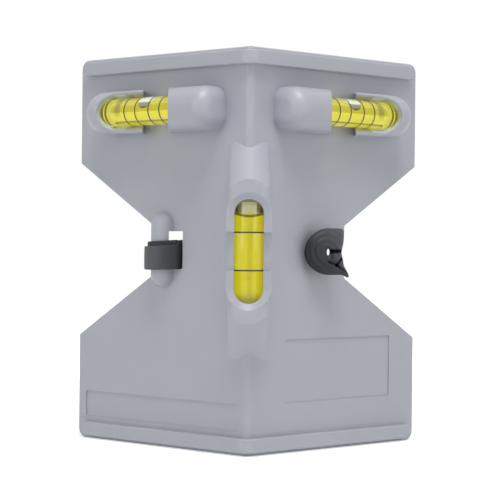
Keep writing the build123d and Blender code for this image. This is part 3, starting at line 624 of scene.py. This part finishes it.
def strap_profile(width, count):
    """Rounded rectangle across the strap, slightly crowned: thickness, and share of the width."""
    angle = np.linspace(0, 2 * pi, PROFILE_TRACE, endpoint=False) + PROFILE_START
    thick = np.sign(np.cos(angle)) * (STRAP_THICKNESS / 2 - STRAP_EDGE_ROUND)
    high = np.sign(np.sin(angle)) * (width / 2 - STRAP_EDGE_ROUND)
    around = np.stack([np.cos(angle), np.sin(angle)], -1)
    corners = np.stack([thick, high], -1) + STRAP_EDGE_ROUND * around
    profile = evenly(corners, count, True)
    crown = STRAP_CROWN * (1 - (2 * profile[:, 1] / width) ** 2)
    profile[:, 0] += np.where(profile[:, 0] > 0, crown, 0)
    profile[:, 1] = 0.5 + profile[:, 1] / width
    return profile


def along_path(path, profile, lows, highs, closed):
    """Sweeps the profile along a flat path: thickness along its right-hand normal, width up.

    The profile's heights are shares of the way from the strap's low edge to its high edge,
    and both edges may change from place to place.
    """
    if closed:
        ahead = np.roll(path, -1, 0) - np.roll(path, 1, 0)
    else:
        ahead = np.gradient(path, axis=0)
    ahead /= np.linalg.norm(ahead, axis=1, keepdims=True)
    side = np.stack([ahead[:, 1], -ahead[:, 0]], -1)
    points = np.empty((len(path), len(profile), 3))
    points[..., :2] = path[:, None, :] + side[:, None, :] * profile[None, :, :1]
    points[..., 2] = lows[:, None] + (highs - lows)[:, None] * profile[None, :, 1]
    return points


loop_low, loop_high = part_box("strap_loop")
band_low, band_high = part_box("strap_band")
neck_low, neck_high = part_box("strap_neck")
LOOP_GAP = 0.00015
LAP_OFFSET = 0.0012
RIB_RADIUS = 0.0046
RIB_OFFSET = 0.00145
BEND_RADIUS = 0.003
LAP_WIDTH = 0.0080
LAP_DROP = 0.0006
LOOP_DROP = 0.0006
EDGE_DROP = 0.00025
BAR_WIDTH = 0.0059
TURN_POINTS = 1440
BEND_POINTS = 24
LOOP_RINGS = 260
BAND_RINGS = 420
NECK_RINGS = 90
BAR_OUTER = loop_low.x + LOOP_GAP + STRAP_THICKNESS
BAR_INNER = BAR_OUTER + BAR_WIDTH
BAR_BACK = loop_high.y - LOOP_GAP - STRAP_THICKNESS
RIB_X = BAR_INNER - RIB_OFFSET
RIB_Y = loop_low.y + LOOP_GAP + STRAP_THICKNESS + RIB_RADIUS
SLOT_CORNER = (loop_high.x - LOOP_GAP - STRAP_THICKNESS, RIB_Y - RIB_RADIUS)


def round_bar(grow, angle):
    """Taut line round the left bar and across its slot, a distance clear of it.

    For each outward direction, the point that lies furthest that way, moved out by the
    distance: a corner of the wall, the corner at the slot's far side, or a point of the rib.
    """
    way = np.stack([np.cos(angle), np.sin(angle)], -1)
    corners = np.array([[BAR_OUTER, BAR_BACK], [BAR_INNER, BAR_BACK - BAR_WIDTH], SLOT_CORNER])
    rib = np.array([RIB_X, RIB_Y]) + RIB_RADIUS * way
    rib[:, 0] = np.clip(rib[:, 0], BAR_OUTER, BAR_INNER)
    rib[:, 1] = RIB_Y - np.sqrt(RIB_RADIUS**2 - (rib[:, 0] - RIB_X) ** 2)
    reach = np.concatenate([way @ corners.T, np.sum(rib * way, 1, keepdims=True)], 1)
    furthest = np.argmax(reach, 1)
    choices = np.stack([*(np.broadcast_to(corner, rib.shape) for corner in corners), rib])
    return choices[furthest, np.arange(len(way))] + grow * way


rubber = black_rubber("black_rubber")[0]


def swept_strap(name, path, lows, highs, closed, material=rubber):
    """A strap piece: the rounded profile along a path, with its cut ends closed."""
    points = along_path(path, strap_profile((highs - lows).max(), PROFILE_POINTS), lows, highs, closed)
    rows, columns = points.shape[:2]
    faces = grid_faces(rows, columns, True, True) if closed else capped(rows, columns)
    return surface_piece(name, points, faces, material)


def facing_out(piece):
    """Turns a closed piece's faces outwards."""
    shape = bmesh.new()
    shape.from_mesh(piece.data)
    bmesh.ops.recalc_face_normals(shape, faces=shape.faces)
    shape.to_mesh(piece.data)
    shape.free()


def across_bar(path):
    """Share of the way from the bar's outer side to the corner at the slot's far side."""
    return np.clip((path[:, 0] - BAR_OUTER) / (SLOT_CORNER[0] - BAR_OUTER), 0, 1)


def make_loop():
    """Inner turn: the taut line round the bar at the middle of the strap's thickness."""
    turn = np.linspace(-pi, pi, TURN_POINTS, endpoint=False)
    path = evenly(round_bar(LOOP_GAP + STRAP_THICKNESS / 2, turn), LOOP_RINGS, True)
    lows = np.full(len(path), loop_low.z)
    highs = loop_high.z - LOOP_DROP * (1 - across_bar(path))
    loop = swept_strap("rubber_loop", path, lows, highs, True)
    facing_out(loop)
    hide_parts("strap_loop")
    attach(loop, "frame")


def arc(centre, radius, start, end, count):
    """Points along a circle's arc between two angles."""
    angle = np.linspace(start, end, count)
    return np.array(centre) + radius * np.stack([np.cos(angle), np.sin(angle)], -1)


def make_band():
    """Outer lap from its cut end round the bar's front, the leg through the slot and the span.

    The lap is narrower than the rest; its width grows by a smooth step round the slot's corner.
    """
    grow = LAP_OFFSET + STRAP_THICKNESS / 2
    span_y = band_high.y - 1.5 * STRAP_THICKNESS
    bend_y = span_y - BEND_RADIUS
    leg_x = SLOT_CORNER[0] + grow
    front = round_bar(grow, np.linspace(-pi, 0, TURN_POINTS // 2))
    front = front[front[:, 1] < bend_y]
    start = [[BAR_OUTER - grow, band_high.y]]
    bend = arc((leg_x + BEND_RADIUS, bend_y), BEND_RADIUS, pi, pi / 2, BEND_POINTS)
    whole = np.concatenate([start, front, bend, [[band_high.x, span_y]]])
    path = evenly(whole, BAND_RINGS, False)
    widened = np.clip((path[:, 0] - SLOT_CORNER[0]) / grow, 0, 1)
    widened = widened**2 * (3 - 2 * widened)
    slant = LAP_DROP * (1 - across_bar(path))
    lap_high = band_low.z + LAP_WIDTH - slant
    highs = lap_high + (band_high.z - lap_high) * widened
    lows = band_low.z - EDGE_DROP - slant / 2
    strap = swept_strap("rubber_band", path, lows, highs, False, rubber_with_painted_side("rubber_with_painted_side"))
    facing_out(strap)
    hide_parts("strap_band")
    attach(strap, "frame")


def make_neck():
    """Bend into the right slot and the straight stretch to the strap's end, which stretches."""
    middle_x = neck_high.x - STRAP_THICKNESS / 2
    span_y = band_high.y - 1.5 * STRAP_THICKNESS
    bend_y = span_y - BEND_RADIUS
    bend = arc((middle_x - BEND_RADIUS, bend_y), BEND_RADIUS, pi / 2, 0, BEND_POINTS)
    path = evenly(np.concatenate([bend, [[middle_x, neck_low.y]]]), NECK_RINGS, False)
    lows, highs = np.full(len(path), neck_low.z), np.full(len(path), neck_high.z)
    neck = swept_strap("rubber_neck", path, lows, highs, False)
    facing_out(neck)
    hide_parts("strap_neck")
    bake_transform(neck)


make_loop()
make_band()
make_neck()

# Pulled-through strap end: a moulded rubber head with a narrow bore. It flares out of the
# slot, is squared off beside the notch and is drawn into folds, a cleft and a pointed corner.
HEAD_LEFT = 0.0087
HEAD_RIGHT = 0.0058
HEAD_TOP = 0.0080
HEAD_BOTTOM = 0.0076
HEAD_NIP = 0.0009
HEAD_NIP_ANGLE = radians(25)
HEAD_ROUNDNESS = 1.9
HEAD_SQUARENESS = 10.0
TIP_LENGTH = 0.0029
TIP_ANGLE = radians(-47.0)
TIP_SPREAD = radians(6.0)
ROOT_HALF_X = 0.0021
ROOT_HALF_Z = 0.0046
HEAD_BORE_X = 0.0006
HEAD_BORE_Z = 0.0012
RIM_AHEAD = 0.0048
RIM_TILT = radians(22)
DOME_RISE = 0.0030
DOME_FULLNESS = 0.9
HEAD_COLUMNS = 240
FLARE_RINGS = 26
DOME_RINGS = 72
BORE_RINGS = 14
HOLE_DIP = 0.0011
HOLE_DIP_RADIUS = 0.0019
FOLD_HEIGHT = 0.00014
FOLD_STEP = 0.0021
FOLD_SWAY = 0.0004
FOLD_EDGE_SHARE = 0.3
RELIEF_RISE = 2.5
NUB_HEIGHT = 0.0009
NUB_LINE = ((0.0019, -0.0014), (0.0028, -0.0020))
NUB_WIDTH = 0.0010
# Each crease: its two ends, across and up from the bore, its width and its depth.
CREASES = (
    ((0.0009, 0.0002), (0.0056, 0.0005), 0.00050, 0.0024),
    ((0.0047, -0.0022), (0.0030, -0.0043), 0.00040, 0.0015),
    ((0.0030, -0.0043), (0.0002, -0.0032), 0.00035, 0.0006),
    ((0.0030, -0.0043), (0.0072, -0.0071), 0.00035, 0.0007),
)
# Painted black shade in the head's creases, and painted light that grows towards its upper right.
CREASE_PAINTED_BLACK = (0.002, 0.002, 0.003, 1.0)
PAINTED_LIGHT_TOWARD = (0.8, 0.6)
PAINTED_LIGHT_LEAST = 0.25
PAINTED_LIGHT_GROWTH = 0.6
CREASE_SHADE_STRENGTH = 1.2
HEAD_MIDDLE_X = 0.026689
HEAD_DROP = 0.0001
HEAD_MIDDLE = Vector((HEAD_MIDDLE_X, neck_low.y, (cad_low.z + cad_high.z) / 2 - HEAD_DROP))


def head_outline(turn):
    """Distance from the bore to the head's edge, by the angle seen from the front.

    On the left nearly an ellipse; on the right a superellipse, whose half width has a nip at
    its middle. A narrow bell curve about one angle draws out the pointed corner.
    """
    nipped = HEAD_RIGHT - HEAD_NIP * np.exp(-((turn / HEAD_NIP_ANGLE) ** 2))
    half_width = np.where(np.cos(turn) > 0, nipped, HEAD_LEFT)
    half_height = np.where(np.sin(turn) > 0, HEAD_TOP, HEAD_BOTTOM)
    power = np.where(np.cos(turn) > 0, HEAD_SQUARENESS, HEAD_ROUNDNESS)
    side = np.abs(np.cos(turn)) / half_width
    up = np.abs(np.sin(turn)) / half_height
    edge = (side**power + up**power) ** (-1 / power)
    return edge + TIP_LENGTH * np.exp(-(((turn - TIP_ANGLE) / TIP_SPREAD) ** 2))


def near_line(x, z, start, end, width):
    """1 on a straight line between two points, fading over the width as a bell curve."""
    start, end = np.array(start), np.array(end)
    way = end - start
    share = ((x - start[0]) * way[0] + (z - start[1]) * way[1]) / (way @ way)
    share = np.clip(share, 0, 1)
    far = np.hypot(x - start[0] - share * way[0], z - start[1] - share * way[1])
    return np.exp(-((far / width) ** 2))


def head_relief(x, z, turn, edge):
    """Height added to the dome, and the share of painted shade in its creases.

    The height is the sum of a dip at the bore, ring folds, a nub and four creases, each a
    bell curve about a line. The painted shade is the same curve of each crease.
    """
    from_bore = np.hypot(x, z)
    dip = -HOLE_DIP * np.exp(-((from_bore / HOLE_DIP_RADIUS) ** 2))
    inside = np.clip((edge - from_bore) / (FOLD_EDGE_SHARE * edge), 0, 1)
    swayed = from_bore + FOLD_SWAY * np.sin(2 * turn)
    folds = FOLD_HEIGHT * inside * np.cos(2 * pi * swayed / FOLD_STEP)
    nub = NUB_HEIGHT * near_line(x, z, *NUB_LINE, NUB_WIDTH)
    height = dip + folds + nub
    dark = np.zeros_like(height)
    for start, end, width, depth in CREASES:
        crease = near_line(x, z, start, end, width)
        height = height - depth * crease
        dark = np.maximum(dark, crease)
    return height, dark


def head_rubber():
    """Black rubber with painted light towards the upper right and painted black shade in the creases.
    """
    material, surface = black_rubber("head_rubber")
    tree = material.node_tree
    tone = surface.inputs["Base Color"].links[0].from_socket
    painted_light_mask = tree.nodes.new("ShaderNodeAttribute")
    painted_light_mask.attribute_name = "painted_light_mask"
    dark = tree.nodes.new("ShaderNodeAttribute")
    dark.attribute_name = "dark"
    tone = colours(tree, painted_light_mask.outputs["Fac"], tone, RUBBER_PAINTED_LIGHT)
    wire(tree, colours(tree, dark.outputs["Fac"], tone, CREASE_PAINTED_BLACK), surface.inputs["Base Color"])
    return material


def store(mesh, name, values):
    """Keeps one value per point on a mesh, for its material."""
    layer = mesh.attributes.new(name, "FLOAT", "POINT")
    layer.data.foreach_set("value", values.ravel().astype(np.float32))


def ellipse(turn, half_x, half_z):
    """Distance from an ellipse's centre to its edge, by the angle.

    The product of both half widths, over the length of the pair of the upright one times the
    cosine and the level one times the sine.
    """
    return half_x * half_z / np.hypot(half_z * np.cos(turn), half_x * np.sin(turn))


def make_head():
    """Closed sleeve of rings about the bore: flare from the root, dome, bore and flat back.

    The flare's half widths run from the root's ellipse to the outline along a smooth step.
    The dome rises as a quarter of an ellipse from the rim to the bore's mouth.
    """
    turn = np.linspace(-pi, pi, HEAD_COLUMNS, endpoint=False)[None, :]
    edge = head_outline(turn)
    bore = ellipse(turn, HEAD_BORE_X, HEAD_BORE_Z)
    root = ellipse(turn, ROOT_HALF_X, ROOT_HALF_Z)
    flare = np.linspace(0, 1, FLARE_RINGS)[:, None]
    opened = flare**2 * (3 - 2 * flare)
    flare_radius = root + (edge - root) * opened
    flare_ahead = RIM_AHEAD * flare * np.ones_like(turn)
    swing = np.linspace(0, pi / 2, DOME_RINGS)[1:, None]
    dome_radius = bore + (edge - bore) * np.cos(swing)
    dome_ahead = RIM_AHEAD + DOME_RISE * np.sin(swing) ** DOME_FULLNESS * np.ones_like(turn)
    x, z = dome_radius * np.cos(turn), dome_radius * np.sin(turn)
    height, dark = head_relief(x, z, turn, edge)
    dome_ahead = dome_ahead + height * np.clip(np.sin(swing) * RELIEF_RISE, 0, 1)
    back = np.linspace(1, 0, BORE_RINGS)[:, None]
    bore_radius = np.broadcast_to(bore, (BORE_RINGS, HEAD_COLUMNS))
    bore_ahead = dome_ahead[-1:] * back
    radius = np.concatenate([flare_radius, dome_radius, bore_radius])
    ahead = np.concatenate([flare_ahead, dome_ahead, bore_ahead])
    tilt = RIM_TILT * np.clip(ahead / RIM_AHEAD, 0, 1)
    local_x = radius * np.cos(turn)
    points = np.empty(radius.shape + (3,))
    points[..., 0] = HEAD_MIDDLE.x + local_x * np.cos(tilt)
    points[..., 1] = HEAD_MIDDLE.y - ahead + local_x * np.sin(tilt)
    points[..., 2] = HEAD_MIDDLE.z + radius * np.sin(turn)
    rows, columns = radius.shape
    faces = grid_faces(rows, columns, True, True)
    head = surface_piece("rubber_head", points, faces, head_rubber())
    facing_out(head)
    # Painted light: stronger towards the upper right of the head.
    right, up = PAINTED_LIGHT_TOWARD
    toward = (right * radius * np.cos(turn) + up * radius * np.sin(turn)) / HEAD_TOP
    store(head.data, "painted_light_mask", np.clip(PAINTED_LIGHT_LEAST + PAINTED_LIGHT_GROWTH * toward, 0, 1))
    # Painted shade in the creases of the dome.
    shade = np.zeros_like(radius)
    shade[len(flare) : len(flare) + len(dark)] = dark
    store(head.data, "dark", np.clip(CREASE_SHADE_STRENGTH * shade, 0, 1))
    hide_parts("strap_tail")
    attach(head, "strap_end")


make_head()

# Setting: a plain white floor and white surroundings, with soft lamps above, and the camera
# where the photograph was taken from.
FLOOR_SIZE = 6.0
FLOOR_WHITE = (0.86, 0.86, 0.86, 1.0)
FLOOR_GLOW_NEAR = 0.50
FLOOR_GLOW_FAR = 1.0
FLOOR_BOUNCE = 0.14
FLOOR_NEAR = 0.12
FLOOR_FAR = 0.45
WORLD_LIGHT = 0.34
WHITE = (1.0, 1.0, 1.0, 1.0)
LAMP_COLOUR = (1.0, 0.99, 0.97)
LAMP_AIM = (0.0, 0.0, 0.07)
# Each lamp: its place, the side of its square in metres and its power in watts.
LAMPS = {
    "lamp_above": ((0.05, -0.30, 0.75), 0.35, 3.8),
    "lamp_left": ((-0.75, -0.55, 0.35), 0.6, 1.7),
    "lamp_right": ((0.75, -0.55, 0.35), 0.6, 1.3),
}
CAMERA_PLACE = (-0.00477, -0.63774, 0.06976)
CAMERA_LENS = 136.35
CAMERA_YAW = 0.0085
CAMERA_PITCH = 0.0046
CAMERA_ROLL = 0.0104


def seen_directly(tree):
    """1 for rays from the camera, off gloss or through glass, where the backdrop is white."""
    path = tree.nodes.new("ShaderNodeLightPath")
    seen = sums(tree, "MAXIMUM", path.outputs["Is Camera Ray"], path.outputs["Is Glossy Ray"])
    return sums(tree, "MAXIMUM", seen, path.outputs["Is Transmission Ray"])


def floor_sheet():
    """White floor that keeps the shadow close to the object and is plain white further off."""
    half = FLOOR_SIZE / 2
    corners = np.array([[-half, -half, 0], [half, -half, 0], [half, half, 0], [-half, half, 0]])
    material = bpy.data.materials.new("white_floor")
    tree, surface = shader_parts(material)
    surface.inputs["Base Color"].default_value = FLOOR_WHITE
    surface.inputs["Emission Color"].default_value = WHITE
    surface.inputs["Roughness"].default_value = 1.0
    surface.inputs["Specular IOR Level"].default_value = 0.0
    place = tree.nodes.new("ShaderNodeTexCoord")
    far = tree.nodes.new("ShaderNodeVectorMath")
    far.operation = "LENGTH"
    wire(tree, place.outputs["Object"], far.inputs[0])
    rise = steps(tree, far.outputs["Value"], FLOOR_NEAR, FLOOR_FAR)
    glow = sums(tree, "MULTIPLY", rise, FLOOR_GLOW_FAR - FLOOR_GLOW_NEAR)
    glow = sums(tree, "ADD", glow, FLOOR_GLOW_NEAR)
    seen = sums(tree, "MULTIPLY", sums(tree, "SUBTRACT", glow, FLOOR_BOUNCE), seen_directly(tree))
    wire(tree, sums(tree, "ADD", seen, FLOOR_BOUNCE), surface.inputs["Emission Strength"])
    mesh = bpy.data.meshes.new("floor")
    mesh.from_pydata(corners.tolist(), [], [(0, 1, 2, 3)])
    mesh.materials.append(material)
    floor = bpy.data.objects.new("floor", mesh)
    bpy.context.scene.collection.objects.link(floor)


def soft_lamp(name, place, size, watts):
    """Square area lamp that faces the middle of the object."""
    lamp = bpy.data.lights.new(name, "AREA")
    lamp.size = size
    lamp.energy = watts
    lamp.color = LAMP_COLOUR
    holder = bpy.data.objects.new(name, lamp)
    holder.location = place
    holder.rotation_euler = (Vector(LAMP_AIM) - Vector(place)).to_track_quat("-Z", "Y").to_euler()
    bpy.context.scene.collection.objects.link(holder)


def white_world():
    """World that lights softly and shows as pure white behind the object."""
    world = bpy.data.worlds.new("white_surroundings")
    world.use_nodes = True
    bpy.context.scene.world = world
    tree = world.node_tree
    background = tree.nodes["Background"]
    background.inputs["Color"].default_value = WHITE
    seen = seen_directly(tree)
    level = sums(tree, "ADD", sums(tree, "MULTIPLY", seen, 1.0 - WORLD_LIGHT), WORLD_LIGHT)
    wire(tree, level, background.inputs["Strength"])


def photo_camera():
    """Camera at the photograph's place and angle."""
    camera = bpy.data.cameras.new("photo_camera")
    camera.lens = CAMERA_LENS
    holder = bpy.data.objects.new("photo_camera", camera)
    holder.location = CAMERA_PLACE
    turn = Matrix.Rotation(-CAMERA_YAW, 4, "Z") @ Matrix.Rotation(pi / 2 - CAMERA_PITCH, 4, "X")
    holder.rotation_euler = (turn @ Matrix.Rotation(CAMERA_ROLL, 4, "Z")).to_euler()
    bpy.context.scene.collection.objects.link(holder)
    bpy.context.scene.camera = holder


floor_sheet()
for name, (place, size, watts) in LAMPS.items():
    soft_lamp(name, place, size, watts)
white_world()
photo_camera()

bpy.context.scene.view_settings.view_transform = "Standard"
